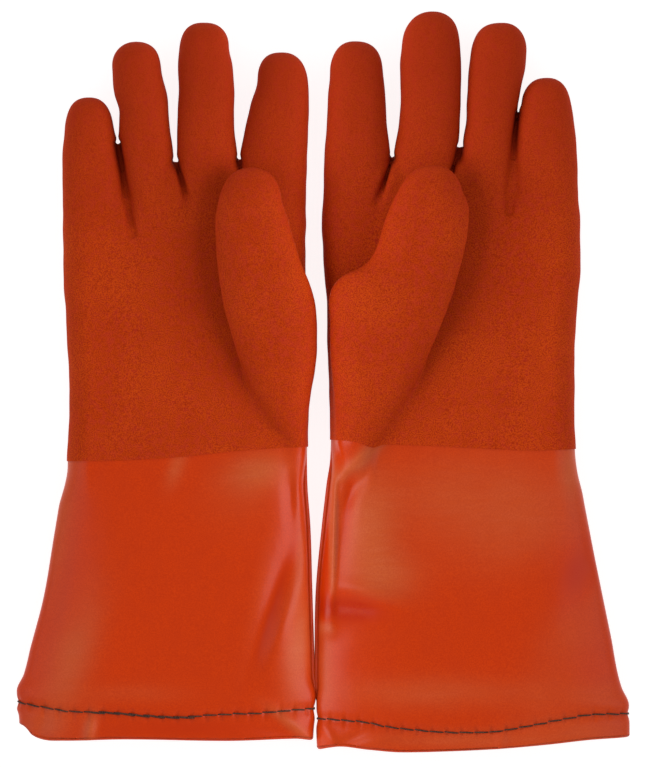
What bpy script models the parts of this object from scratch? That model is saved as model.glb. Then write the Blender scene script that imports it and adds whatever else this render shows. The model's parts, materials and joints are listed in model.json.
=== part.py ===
"""A pair of insulated PVC gauntlet gloves for cold work, lying palm up side by side.

Frame: +X across the pair, +Y towards the fingertips, +Z up from the surface they lie on, with the
origin on that surface below the middle of the pair. Each glove is a coated hand with a lining
inside it, welded to a smooth gauntlet sleeve with its own lining, turned hem and stitching. The
skin is cut where it bends: at each finger's root, half way along each finger, at the thumb and
at the wrist. Hinge axes lie along the palm side of each bend, where the skin creases.
"""

import math

import bmesh
import bpy
from mathutils import Vector

MM = 0.001

# Driving dimensions, in millimetres
SKIN = 1.2  # coated PVC wall, and the sleeve's sheet
LINING = 3.0  # pile lining, compressed against the hand
FIT = 0.3  # gap between a skin and its lining, and each side of a bend
PALM_HIGH = 25.6  # top of the flattened palm
BLOCK_LOW, BLOCK_HIGH = 0.1, 25.3  # the stretch that carries the roots of three fingers
FINGER_LOW = 0.2
KNUCKLE_HALF_HEIGHT, END_HALF_HEIGHT = 12.4, 11.0
STUB = 26.0  # how far a finger's root runs back into the palm
THUMB_LOW, THUMB_HIGH, THUMB_END_HIGH = 26.6, 49.6, 47.6
ROOT_LOW = 8.0  # bottom of the thumb's root, inside the palm
AXIS_ABOVE = 0.3  # hinge axes stand this far over the palm side of the skin
MOUTH_HIGH = 31.0
HEM = 17.0  # height of the turned hem
GROOVE = 1.3  # how deep the stitching pulls the sleeve in
GROOVE_FLOOR, GROOVE_RAMP = 1.0, 3.5  # half lengths of the groove's floor and of its mouth
THREAD = 0.9
SEAM_PROUD, SEAM_HIGH = 1.0, 2.4  # the welded lip of the sleeve's side seam

FINGER_SIDES, THUMB_SIDES, BLOCK_SIDES, PALM_SIDES, SLEEVE_SIDES = 12, 12, 12, 16, 20
ROUND, OVAL, FLAT, BOXY = 2.3, 2.5, 3.2, 4.5  # how square a cross-section is
CAP_ANGLES = (30, 58)  # where a fingertip's rings lie on its rounded end, in degrees
INSIDE, PAST, FLARE = 0.05, 3.0, 0.8  # a cavity flares out from just inside an opening to past it
MERGE = 0.02  # points this close are one
FLAT_ANGLE = 0.05  # faces this near to one plane are one, in degrees

FINGERS = ("index", "middle", "ring", "little")

# Each finger: centre of its knuckle crease, its tip, half width at the crease and near the tip,
# length of the rounded end, and how far the middle joint is from the crease.
# Each other outline: pairs of edge points, lower-X edge first, in millimetres.
GLOVES = {
    "right": {
        "index": ((-25.5, 112.0), (-23.1, 169.5), 16.8, 13.6, 15.0, 28.0),
        "middle": ((-60.0, 112.0), (-62.3, 184.9), 15.8, 14.2, 14.4, 35.0),
        "ring": ((-90.2, 112.0), (-96.4, 174.6), 13.4, 13.2, 13.0, 30.0),
        "little": ((-117.3, 83.3), (-120.3, 145.9), 15.1, 13.0, 18.0, 30.0),
        "palm": [
            ((-132.6, -40.3), (-9.0, -33.1)),
            ((-131.0, -9.5), (-7.9, -6.9)),
            ((-132.0, 26.4), (-7.9, 29.0)),
            ((-132.6, 52.0), (-9.5, 54.6)),
            ((-132.4, 79.7), (-9.5, 81.8)),
        ],
        "block": [((-101.0, 66.0), (-9.5, 67.5)), ((-102.5, 107.4), (-9.2, 108.5))],
        "thumb": [
            ((-47.9, 26.4), (-11.0, 61.3)),
            ((-55.1, 61.3), (-14.1, 72.6)),
            ((-55.6, 81.8), (-18.2, 82.8)),
            ((-54.1, 93.1), (-21.3, 93.1)),
        ],
        "thumb_tip": (-37.2, 109.0),
        "thumb_root": [
            ((-47.9, 26.4), (-11.0, 61.3)),
            ((-44.4, 15.1), (-4.4, 32.6)),
            ((-36.2, -5.4), (-5.9, 4.9)),
            ((-26.9, -21.8), (-8.5, -18.7)),
        ],
        "gauntlet": [
            ((-133.8, -41.2), (-9.2, -33.9)),
            ((-136.7, -63.3), (-8.8, -60.8)),
            ((-143.3, -111.0), (-8.6, -111.0)),
            ((-153.6, -153.0), (-8.2, -152.0)),
            ((-157.2, -167.0), (-6.2, -168.5)),
            ((-155.0, -184.4), (-6.2, -184.4)),
        ],
        "seam_side": 1,
    },
    "left": {
        "index": ((17.0, 112.0), (16.4, 174.6), 16.8, 14.5, 18.0, 30.0),
        "middle": ((51.9, 113.6), (55.9, 190.2), 16.4, 15.6, 21.0, 36.5),
        "ring": ((82.2, 113.6), (91.3, 184.4), 12.7, 14.0, 13.0, 34.0),
        "little": ((113.2, 93.6), (114.1, 155.6), 15.9, 14.0, 20.0, 29.5),
        "palm": [
            ((4.9, -30.5), (129.5, -34.6)),
            ((3.3, -6.9), (127.9, -5.4)),
            ((1.8, 26.4), (128.7, 26.4)),
            ((-0.3, 52.0), (130.0, 52.0)),
            ((-0.8, 90.2), (130.4, 90.2)),
        ],
        "block": [((-0.6, 76.0), (96.0, 76.0)), ((-0.2, 109.0), (95.2, 110.2))],
        "thumb": [
            ((10.5, 53.6), (59.2, 26.4)),
            ((25.4, 64.4), (70.0, 61.3)),
            ((33.3, 85.4), (73.1, 86.4)),
            ((38.2, 97.2), (71.5, 98.2)),
        ],
        "thumb_tip": (55.1, 110.0),
        "thumb_root": [
            ((10.5, 53.6), (59.2, 26.4)),
            ((2.3, 32.6), (55.1, 15.1)),
            ((3.3, 8.5), (44.9, -3.3)),
            ((4.4, -15.6), (31.0, -22.0)),
        ],
        "gauntlet": [
            ((4.9, -31.5), (129.5, -35.6)),
            ((0.8, -63.3), (133.6, -63.3)),
            ((-3.2, -112.0), (143.3, -112.0)),
            ((-3.2, -157.0), (153.6, -157.0)),
            ((-3.4, -172.0), (157.2, -171.0)),
            ((-3.0, -190.2), (157.2, -184.5)),
        ],
        "seam_side": -1,
    },
}
# Tops of the thumb's root, at the same places as its edge points
ROOT_HIGH = (49.6, 46.0, 37.0, 28.2)
# Tops of the gauntlet, at the same places as its edge points
GAUNTLET_HIGH = (25.6, 26.4, 28.0, 29.6, 30.2, MOUTH_HIGH)

# Each layer of a hand: its name, its material, and how far its two faces are inside the outline
LAYERS = (
    ("shell", "coat", 0.0, SKIN),
    ("liner", "pile", SKIN + FIT, SKIN + FIT + LINING),
)

# Each material: its colour and its roughness
LOOKS = {
    "coat": ((0.42, 0.052, 0.014), 0.85),
    "sheet": ((0.55, 0.075, 0.016), 0.35),
    "pile": ((0.86, 0.82, 0.74), 1.0),
    "thread": ((0.025, 0.018, 0.022), 0.8),
}


class Section:
    """A flattened cross-section: its two edge points in plan, and its bottom and top."""

    def __init__(self, edges, low, high):
        self.a, self.b = Vector(edges[0]), Vector(edges[1])
        self.low, self.high = low, high

    def ring(self, inset, sides, square):
        """Points around the section, drawn in by inset, with level edges that reach its full
        width and height. sides is a multiple of 4."""
        across = (self.b - self.a).normalized()
        reach = math.cos(math.pi / sides) ** (2 / square)
        half_wide = ((self.b - self.a).length / 2 - inset) / reach
        half_high = ((self.high - self.low) / 2 - inset) / reach
        centre = (self.a + self.b) / 2
        middle = (self.high + self.low) / 2
        points = []
        for k in range(sides):
            angle = math.tau * (k + 0.5) / sides
            c, s = math.cos(angle), math.sin(angle)
            x = half_wide * math.copysign(abs(c) ** (2 / square), c)
            z = half_high * math.copysign(abs(s) ** (2 / square), s)
            points.append(Vector((*(centre + across * x), middle + z)) * MM)
        return points

    def towards(self, other, share):
        """The section this share of the way to another one."""
        edges = (self.a.lerp(other.a, share), self.b.lerp(other.b, share))
        low = self.low + (other.low - self.low) * share
        return Section(edges, low, self.high + (other.high - self.high) * share)

    def shifted(self, distance):
        """The section moved square to its edge line, forwards if distance is over 0."""
        across = (self.b - self.a).normalized()
        step = Vector((-across.y, across.x)) * distance
        return Section((self.a + step, self.b + step), self.low, self.high)

    def before(self, other, distance):
        """The section carried on this far beyond this one, in line with the two."""
        run = ((other.a + other.b) / 2 - (self.a + self.b) / 2).length
        return self.towards(other, -distance / run)

    def axis_point(self):
        return Vector((*((self.a + self.b) / 2), self.high + AXIS_ABOVE)) * MM


class Stall:
    """A finger stall: a tapering tube from its knuckle crease to a rounded end."""

    def __init__(self, knuckle, tip, half_width, end_half_width, round_end, middle):
        self.knuckle = Vector(knuckle)
        run = Vector(tip) - self.knuckle
        self.length, self.along = run.length, run.normalized()
        self.half_width, self.end_half_width = half_width, end_half_width
        self.round_end, self.middle = round_end, middle

    def section(self, distance):
        """The section this far past the knuckle crease, on the straight part."""
        share = max(distance, 0) / (self.length - self.round_end)
        wide = self.half_width + (self.end_half_width - self.half_width) * share
        high = KNUCKLE_HALF_HEIGHT + (END_HALF_HEIGHT - KNUCKLE_HALF_HEIGHT) * share
        across = Vector((self.along.y, -self.along.x))
        centre = self.knuckle + self.along * distance
        return Section((centre - across * wide, centre + across * wide), FINGER_LOW, FINGER_LOW + 2 * high)

    def rings(self, distances, inset):
        return [self.section(s).ring(inset, FINGER_SIDES, ROUND) for s in distances]

    def rounded(self, start, inset):
        """Rings from start to the rounded end, and the point at the tip."""
        straight = self.length - self.round_end
        return rounded_end(
            [self.section(start), self.section(straight)],
            self.knuckle + self.along * self.length,
            inset, FINGER_SIDES, ROUND,
        )


def rounded_end(sections, tip, inset, sides, square):
    """Rings along sections, then closing elliptically to the tip. Returns (rings, tip point)."""
    rings = [s.ring(inset, sides, square) for s in sections]
    last = sections[-1]
    base = (last.a + last.b) / 2
    run = Vector(tip) - base
    reach = run.normalized() * (run.length - inset)
    middle = Vector((*base, (last.low + last.high) / 2)) * MM
    for angle in map(math.radians, CAP_ANGLES):
        step = Vector((*(reach * math.sin(angle)), 0)) * MM
        rings.append([middle + (p - middle) * math.cos(angle) + step for p in rings[len(sections) - 1]])
    return rings, middle + Vector((*reach, 0)) * MM


def material(name):
    colour, roughness = LOOKS[name]
    made = bpy.data.materials.new(name)
    made.use_nodes = True
    shader = made.node_tree.nodes["Principled BSDF"]
    shader.inputs["Base Color"].default_value = (*colour, 1)
    shader.inputs["Roughness"].default_value = roughness
    made.diffuse_color = (*colour, 1)
    return made


def between_rings(near, far, sides):
    """Triangles between two rings of a vertex list, all split along the same diagonal."""
    faces = []
    for k in range(sides):
        after = (k + 1) % sides
        faces += [(near + k, near + after, far + after), (near + k, far + after, far + k)]
    return faces


def skin_faces(count, sides, first=0):
    """Triangles between rings that lie one after another in a vertex list."""
    starts = [first + r * sides for r in range(count)]
    return [f for near, far in zip(starts, starts[1:]) for f in between_rings(near, far, sides)]


def add_object(name, points, faces, look, joint):
    """An object from points in the pair's frame, with its origin on the joint that moves it."""
    mesh = bpy.data.meshes.new(name)
    mesh.from_pydata([p - joint.at for p in points], [], faces)
    made = bpy.data.objects.new(name, mesh)
    bpy.context.scene.collection.objects.link(made)
    made.parent = joint.empty
    made.data.materials.append(look)
    face_outwards(mesh)
    mesh.shade_smooth()
    mesh.set_sharp_from_angle(angle=math.radians(40))
    return made


def face_outwards(mesh):
    work = bmesh.new()
    work.from_mesh(mesh)
    bmesh.ops.recalc_face_normals(work, faces=work.faces)
    work.to_mesh(mesh)
    work.free()


def add_solid(name, rings, look, joint):
    """A closed solid through the rings, with flat ends."""
    sides = len(rings[0])
    points = [p for ring in rings for p in ring]
    faces = skin_faces(len(rings), sides)
    faces += [tuple(range(sides)), tuple(range(len(points) - sides, len(points)))]
    return add_object(name, points, faces, look, joint)


def add_tube(name, outer, inner, look, joint, tips=None):
    """A hollow wall between two sets of rings, open at both ends, or closed at tips."""
    sides = len(outer[0])
    points = [p for ring in outer + inner for p in ring]
    start = len(outer) * sides
    faces = skin_faces(len(outer), sides) + skin_faces(len(inner), sides, start)
    faces += between_rings(0, start, sides)
    ends = (start - sides, start + (len(inner) - 1) * sides)
    if tips:
        points += list(tips)
        for end, tip in zip(ends, (len(points) - 2, len(points) - 1)):
            faces += [(end + k, end + (k + 1) % sides, tip) for k in range(sides)]
    else:
        faces += between_rings(*ends, sides)
    return add_object(name, points, faces, look, joint)


def combine(base, tools, operation):
    """Joins the tools to the base or cuts them from it, and leaves them as hidden guides."""
    for tool in tools:
        step = base.modifiers.new(tool.name, "BOOLEAN")
        step.operation, step.solver, step.object = operation, "EXACT", tool
        tool.hide_render, tool.display_type = True, "WIRE"
    return base


def drop_slivers(shape):
    """Merges the points and the flat faces that its Booleans split, which are too thin to sew."""
    weld = shape.modifiers.new("weld", "WELD")
    weld.merge_threshold = MERGE * MM
    flat = shape.modifiers.new("flat", "DECIMATE")
    flat.decimate_type = "DISSOLVE"
    flat.angle_limit = math.radians(FLAT_ANGLE)
    shape.modifiers.new("triangles", "TRIANGULATE")


class Joint:
    """An empty on a hinge axis, or at the frame's origin, that pieces hang on."""

    def __init__(self, name, at, parent=None):
        self.at = Vector(at)
        self.empty = bpy.data.objects.new(name, None)
        self.empty.empty_display_size = 0.02
        bpy.context.scene.collection.objects.link(self.empty)
        self.empty.location = self.at - (parent.at if parent else Vector())
        if parent:
            self.empty.parent = parent.empty


def sections_of(edges, lows, highs):
    return [Section(e, low, high) for e, low, high in zip(edges, lows, highs)]


def open_rings(sections, cavity, inset, sides, square):
    """Rings through the sections. A cavity's flare out past the first one, so that cutting it
    out leaves that end open."""
    rings = [s.ring(inset, sides, square) for s in sections]
    if cavity:
        rings[0] = sections[0].before(sections[1], -INSIDE).ring(inset, sides, square)
        rings.insert(0, sections[0].before(sections[1], PAST).ring(inset - FLARE, sides, square))
    return rings


def hand_solids(name, glove, stalls, inset, cavity, look, joint):
    """The hand's shape without its fingers and thumb, drawn in by inset. A cavity runs on past
    the wrist, the finger roots and the thumb's root."""
    palm = sections_of(glove["palm"], [0.0] * 5, [PALM_HIGH] * 5)
    palm[-1] = palm[-1].shifted(-inset)
    block = sections_of(glove["block"], [BLOCK_LOW] * 2, [BLOCK_HIGH] * 2)
    block = [block[0].shifted(inset), block[1].shifted(-inset)]
    root = sections_of(glove["thumb_root"], [ROOT_LOW] * 4, ROOT_HIGH)
    root[0] = root[0].shifted(-FIT)
    root[-1] = root[-1].before(root[-2], -inset)
    base = add_solid(name, open_rings(palm, cavity, inset, PALM_SIDES, FLAT), look, joint)
    tools = [
        add_solid(f"{name}_block", [s.ring(inset, BLOCK_SIDES, BOXY) for s in block], look, joint),
        add_solid(f"{name}_root", open_rings(root, cavity, inset, THUMB_SIDES, OVAL), look, joint),
    ]
    for finger, stall in stalls.items():
        stub = [stall.section(-FIT), stall.section(inset - STUB)]
        rings = open_rings(stub, cavity, inset, FINGER_SIDES, ROUND)
        tools.append(add_solid(f"{name}_{finger}", rings, look, joint))
    return combine(base, tools, "UNION")


def add_hand(side, glove, stalls, looks, joint):
    """The coated hand and the lining in it, open at the wrist, the fingers and the thumb."""
    for piece, look, outside, inside in LAYERS:
        name = f"{side}_hand_{piece}"
        shape = hand_solids(name, glove, stalls, outside, False, looks[look], joint)
        hollow = hand_solids(f"{name}_hollow", glove, stalls, inside, True, looks[look], joint)
        combine(shape, [hollow], "DIFFERENCE")
        drop_slivers(shape)


def add_finger(side, finger, stall, looks, hand):
    """A finger's lower stall on its knuckle hinge, and its tip on the middle hinge."""
    knuckle = Joint(f"{side}_{finger}_knuckle", stall.section(0).axis_point(), hand)
    middle = Joint(f"{side}_{finger}_middle", stall.section(stall.middle).axis_point(), knuckle)
    for piece, look, outside, inside in LAYERS:
        ends = (FIT, stall.middle - FIT)
        lower = [stall.rings(ends, inset) for inset in (outside, inside)]
        add_tube(f"{side}_{finger}_lower_{piece}", *lower, looks[look], knuckle)
        (outer, outer_tip), (inner, inner_tip) = [
            stall.rounded(stall.middle + FIT, inset) for inset in (outside, inside)
        ]
        name = f"{side}_{finger}_tip_{piece}"
        add_tube(name, outer, inner, looks[look], middle, (outer_tip, inner_tip))


def add_thumb(side, glove, looks, hand):
    """The thumb stall, folded over the palm and hinged across its root."""
    sections = sections_of(glove["thumb"], [THUMB_LOW] * 4, [THUMB_HIGH] * 3 + [THUMB_END_HIGH])
    hinge = Joint(f"{side}_thumb_lift", sections[0].axis_point(), hand)
    sections[0] = sections[0].shifted(FIT)
    for piece, look, outside, inside in LAYERS:
        (outer, outer_tip), (inner, inner_tip) = [
            rounded_end(sections, glove["thumb_tip"], inset, THUMB_SIDES, OVAL)
            for inset in (outside, inside)
        ]
        name = f"{side}_thumb_{piece}"
        add_tube(name, outer, inner, looks[look], hinge, (outer_tip, inner_tip))


def groove_at(distance):
    """How far the stitching pulls the sleeve in, this far from the stitch line."""
    share = (abs(distance) - GROOVE_FLOOR) / (GROOVE_RAMP - GROOVE_FLOOR)
    return GROOVE * (1 - min(max(share, 0), 1))


def add_gauntlet(side, glove, looks, joint):
    """The sleeve, its lining, its turned hem, the stitching that holds it, and its side seam."""
    main = sections_of(glove["gauntlet"], [0.0] * 6, GAUNTLET_HIGH)
    wrist = main[0].shifted(-FIT)
    stitch, mouth = main[4], main[5]
    above = (main[3].a - stitch.a).length
    below = (stitch.a - mouth.a).length
    marks = (GROOVE_RAMP, GROOVE_FLOOR, -GROOVE_FLOOR, -GROOVE_RAMP)
    around = [
        (stitch.towards(main[3], m / above) if m > 0 else stitch.towards(mouth, -m / below), groove_at(m))
        for m in marks
    ]
    sleeve = [(s, 0.0) for s in (wrist, *main[1:4])] + around + [(mouth, 0.0)]

    def rings(stations, inset):
        return [s.ring(inset + pulled, SLEEVE_SIDES, OVAL) for s, pulled in stations]

    add_tube(f"{side}_gauntlet_sleeve", rings(sleeve, 0.0), rings(sleeve, SKIN), looks["sheet"], joint)
    hem_top = stitch.towards(main[3], (HEM - below) / above)
    hem = [(hem_top, GROOVE), (mouth, GROOVE)]
    inside = SKIN + FIT
    add_tube(f"{side}_hem_fold", rings(hem, inside), rings(hem, inside + SKIN), looks["sheet"], joint)
    lining = [(s, 0.0) for s in (wrist, *main[1:4])]
    add_tube(
        f"{side}_gauntlet_liner",
        rings(lining, inside), rings(lining, inside + LINING), looks["pile"], joint,
    )
    half = THREAD / 2
    thread = [(stitch.towards(main[3], half / above), 0.0), (stitch.towards(mouth, half / below), 0.0)]
    outside = GROOVE - FIT - THREAD
    add_tube(
        f"{side}_hem_thread",
        rings(thread, outside), rings(thread, outside + THREAD), looks["thread"], joint,
    )
    add_seam(side, [wrist.towards(main[1], 0.05), *main[1:4]], glove["seam_side"], looks["sheet"], joint)


def add_seam(side, sections, way, look, joint):
    """The welded lip that runs down the sleeve's thumb side, half way up it."""
    rings = []
    for s in sections:
        edge, middle = (s.b if way > 0 else s.a), (s.low + s.high) / 2
        near, far = edge.x + way * FIT, edge.x + way * (FIT + SEAM_PROUD)
        corners = [(near, -1), (far, -1), (far, 1), (near, 1)]
        rings.append([Vector((x, edge.y, middle + up * SEAM_HIGH / 2)) * MM for x, up in corners])
    add_solid(f"{side}_side_seam", rings, look, joint)


def add_glove(side, glove, looks):
    gauntlet = Joint(f"{side}_gauntlet", (0, 0, 0))
    wrist = Section(glove["palm"][0], 0.0, PALM_HIGH)
    hand = Joint(f"{side}_wrist", wrist.axis_point(), gauntlet)
    stalls = {finger: Stall(*glove[finger]) for finger in FINGERS}
    add_gauntlet(side, glove, looks, gauntlet)
    add_hand(side, glove, stalls, looks, hand)
    add_thumb(side, glove, looks, hand)
    for finger, stall in stalls.items():
        add_finger(side, finger, stall, looks, hand)


def main():
    for old in list(bpy.data.objects):
        bpy.data.objects.remove(old, do_unlink=True)
    looks = {name: material(name) for name in LOOKS}
    for side, glove in GLOVES.items():
        add_glove(side, glove, looks)


main()
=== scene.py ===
"""Looks for a pair of insulated PVC gauntlet gloves that lie palm up side by side.

Each coated hand is one smooth surface, made from rounded lofts that run into each other, and cut
into pieces where it bends. The lining inside it is made the same way. Each gauntlet is a PVC
sheet with soft folds, a turned hem held by lock stitches, a welded side seam and a pile lining.
Shapes are worked out in millimetres in the model's frame: +X across the pair, +Y towards the
fingertips and +Z up, out of the palms.
"""

import json
import math

import bpy
import numpy as np
from mathutils import Vector
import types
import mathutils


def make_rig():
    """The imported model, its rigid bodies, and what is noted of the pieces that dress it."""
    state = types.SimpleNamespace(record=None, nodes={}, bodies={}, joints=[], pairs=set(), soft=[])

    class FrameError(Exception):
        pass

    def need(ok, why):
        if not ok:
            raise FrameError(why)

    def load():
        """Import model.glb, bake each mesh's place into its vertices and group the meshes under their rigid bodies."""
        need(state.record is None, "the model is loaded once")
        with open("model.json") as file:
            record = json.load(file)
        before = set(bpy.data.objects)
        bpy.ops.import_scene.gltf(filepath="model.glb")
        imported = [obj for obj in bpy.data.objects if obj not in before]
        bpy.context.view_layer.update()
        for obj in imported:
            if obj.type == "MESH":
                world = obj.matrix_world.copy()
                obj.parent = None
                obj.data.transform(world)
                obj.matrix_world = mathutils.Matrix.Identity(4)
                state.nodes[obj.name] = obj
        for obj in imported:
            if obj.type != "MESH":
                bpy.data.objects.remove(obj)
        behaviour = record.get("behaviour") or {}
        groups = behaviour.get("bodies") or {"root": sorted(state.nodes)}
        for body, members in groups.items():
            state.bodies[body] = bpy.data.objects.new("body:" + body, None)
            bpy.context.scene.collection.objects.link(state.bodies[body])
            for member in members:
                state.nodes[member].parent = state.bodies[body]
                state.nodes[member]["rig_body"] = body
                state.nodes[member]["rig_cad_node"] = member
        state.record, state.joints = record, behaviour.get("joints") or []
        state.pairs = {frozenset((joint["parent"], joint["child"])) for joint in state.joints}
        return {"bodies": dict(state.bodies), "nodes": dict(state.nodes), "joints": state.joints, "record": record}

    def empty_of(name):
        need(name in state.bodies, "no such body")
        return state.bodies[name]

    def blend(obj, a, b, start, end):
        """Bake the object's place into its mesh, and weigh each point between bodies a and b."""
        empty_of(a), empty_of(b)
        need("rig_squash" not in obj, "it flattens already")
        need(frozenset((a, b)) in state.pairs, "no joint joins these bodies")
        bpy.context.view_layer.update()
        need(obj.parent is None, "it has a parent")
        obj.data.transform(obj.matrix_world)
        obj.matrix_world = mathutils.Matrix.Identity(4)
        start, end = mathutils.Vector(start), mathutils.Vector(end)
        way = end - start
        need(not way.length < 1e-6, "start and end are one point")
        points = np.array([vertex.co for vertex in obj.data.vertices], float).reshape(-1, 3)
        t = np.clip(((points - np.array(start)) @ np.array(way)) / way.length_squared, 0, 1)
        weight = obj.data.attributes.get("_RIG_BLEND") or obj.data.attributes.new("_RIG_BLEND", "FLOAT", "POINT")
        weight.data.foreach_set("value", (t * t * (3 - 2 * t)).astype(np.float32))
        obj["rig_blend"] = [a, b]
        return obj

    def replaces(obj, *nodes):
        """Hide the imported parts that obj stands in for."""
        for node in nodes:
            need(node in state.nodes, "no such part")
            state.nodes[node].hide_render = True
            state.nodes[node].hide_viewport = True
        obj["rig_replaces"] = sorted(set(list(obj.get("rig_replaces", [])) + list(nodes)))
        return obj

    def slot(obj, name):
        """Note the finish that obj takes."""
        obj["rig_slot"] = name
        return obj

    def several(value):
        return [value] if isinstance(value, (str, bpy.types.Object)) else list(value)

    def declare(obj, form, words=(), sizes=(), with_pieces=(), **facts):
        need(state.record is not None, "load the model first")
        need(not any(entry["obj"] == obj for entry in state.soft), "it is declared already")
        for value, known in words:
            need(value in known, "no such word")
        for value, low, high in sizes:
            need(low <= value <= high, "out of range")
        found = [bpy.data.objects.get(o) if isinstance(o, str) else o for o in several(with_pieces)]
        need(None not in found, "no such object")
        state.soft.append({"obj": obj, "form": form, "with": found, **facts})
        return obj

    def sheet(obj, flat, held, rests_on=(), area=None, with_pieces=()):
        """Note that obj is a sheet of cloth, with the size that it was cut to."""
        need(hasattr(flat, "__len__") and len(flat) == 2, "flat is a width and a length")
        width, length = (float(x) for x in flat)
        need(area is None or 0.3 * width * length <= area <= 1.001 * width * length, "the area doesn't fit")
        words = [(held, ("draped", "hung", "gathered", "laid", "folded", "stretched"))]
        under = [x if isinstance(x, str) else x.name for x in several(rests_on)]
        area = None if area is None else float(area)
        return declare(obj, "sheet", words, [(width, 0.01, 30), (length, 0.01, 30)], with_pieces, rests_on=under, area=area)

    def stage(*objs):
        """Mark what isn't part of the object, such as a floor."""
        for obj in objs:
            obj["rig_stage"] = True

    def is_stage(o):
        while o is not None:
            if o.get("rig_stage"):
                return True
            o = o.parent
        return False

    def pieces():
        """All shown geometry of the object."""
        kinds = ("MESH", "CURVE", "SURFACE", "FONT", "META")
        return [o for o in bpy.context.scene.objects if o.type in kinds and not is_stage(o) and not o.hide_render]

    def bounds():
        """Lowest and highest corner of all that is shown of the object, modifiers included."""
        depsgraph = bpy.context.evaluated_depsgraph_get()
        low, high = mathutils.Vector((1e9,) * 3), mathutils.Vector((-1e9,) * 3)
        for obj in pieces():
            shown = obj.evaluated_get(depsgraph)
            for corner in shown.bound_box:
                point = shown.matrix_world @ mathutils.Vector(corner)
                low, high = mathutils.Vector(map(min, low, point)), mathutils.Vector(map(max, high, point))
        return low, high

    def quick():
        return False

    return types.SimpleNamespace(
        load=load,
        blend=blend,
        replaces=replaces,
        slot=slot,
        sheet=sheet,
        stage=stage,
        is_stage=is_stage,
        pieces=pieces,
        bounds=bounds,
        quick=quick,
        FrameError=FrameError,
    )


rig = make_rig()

MM = 0.001

# How finely the surfaces are made: cells in millimetres, and columns around a sleeve
SKIN_CELL, SLEEVE_COLUMNS = (2.0, 240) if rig.quick() else (1.3, 420)
LINING_CELL = 2.6

# Walls and heights, in millimetres
SKIN, LINING, FIT = 1.2, 3.0, 0.3
PALM_HIGH, BLOCK_HIGH, FINGER_HIGH, FINGERTIP_DROP = 25.6, 24.2, 25.0, 1.6
FINGER_LOW, THUMB_LOW, THUMB_HIGH, THUMB_THICK = 0.2, 27.6, 49.4, 14.0
FLAT_UNDER = 0.3  # the underside is flat on the table, this high
PALM_CROWN = 0.07  # the share of its height that the palm's top drops towards its sides
ROOT_SUNK = 4.0  # how deep a finger's shape runs out inside the palm
WRIST_STEP = 0.5  # the hand's coating stands this far over the sleeve at the wrist

# Exponents of the rounded sections, where 2 is an ellipse and more is squarer
FINGER_SQUARE, THUMB_SQUARE, SLEEVE_SQUARE = 2.35, 2.3, 2.3
SLEEVE_SIDES = ((0, 0.35, 1), (7.0, 3.6, 3.6))  # at shares of the way down from the wrist

# Fillets where shapes run into each other, in millimetres
BLOCK_FILLET, FINGER_FILLET, CREASE_FILLET, WEB_FILLET = 3.0, 2.2, 2.8, 1.5
THUMB_FILLET, THUMB_ROOT_FILLET = 0.6, 3.4  # at the free thumb, and how much more at its root

# Creases widen upwards from a level, and the web under each is wider than it
CREASE_LEAN, CREASE_LEVEL, WEB_WIDER = 0.14, 16.0, 1.2

# Walls inside the hand between two fingers: how deep, how thick, how near the next finger and over
# which y. Then how much deeper the lining lies there, and how near the next finger.
PARTITION_IN, PARTITION, PARTITION_NEAR, PARTITION_SPAN = 0.5, 0.8, 6.5, (60, 150)
LINING_APART, LINING_NEAR = 1.3, 9.0

# Gauntlets, in millimetres
HEM, HEM_LAYERS = 17.0, 2.7
STITCH, THREAD = 7.6, 0.9
SEAM_WIDE, SEAM_HIGH, SEAM_ROOT = 1.9, 2.2, 0.6
SLEEVE_LEVELS = (-36.0, -171.0, -185.0)  # y of the wrist, the stitches and the mouth, on the whole
SLEEVE_HIGH = ((0, 0.5, 1, 2), (PALM_HIGH, 27.0, 26.0, 26.0))
TUCK = 24.0  # how far below the wrist the sleeve takes on the hand's shape
DRAWN_IN, PUCKER = 0.9, 0.60  # how far stitches pull the sheet in, and how much more at their holes
PLAIN_DUST = 0.35

# How far bends spread from their axes and where the thumb is cut, in millimetres, and where a
# finger is cut before its middle joint, as a share of the way back to its knuckle
WRIST_BEND, THUMB_BEND, THUMB_CUT = 13.0, 22.0, 2.0
SPLIT = 0.3

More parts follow.
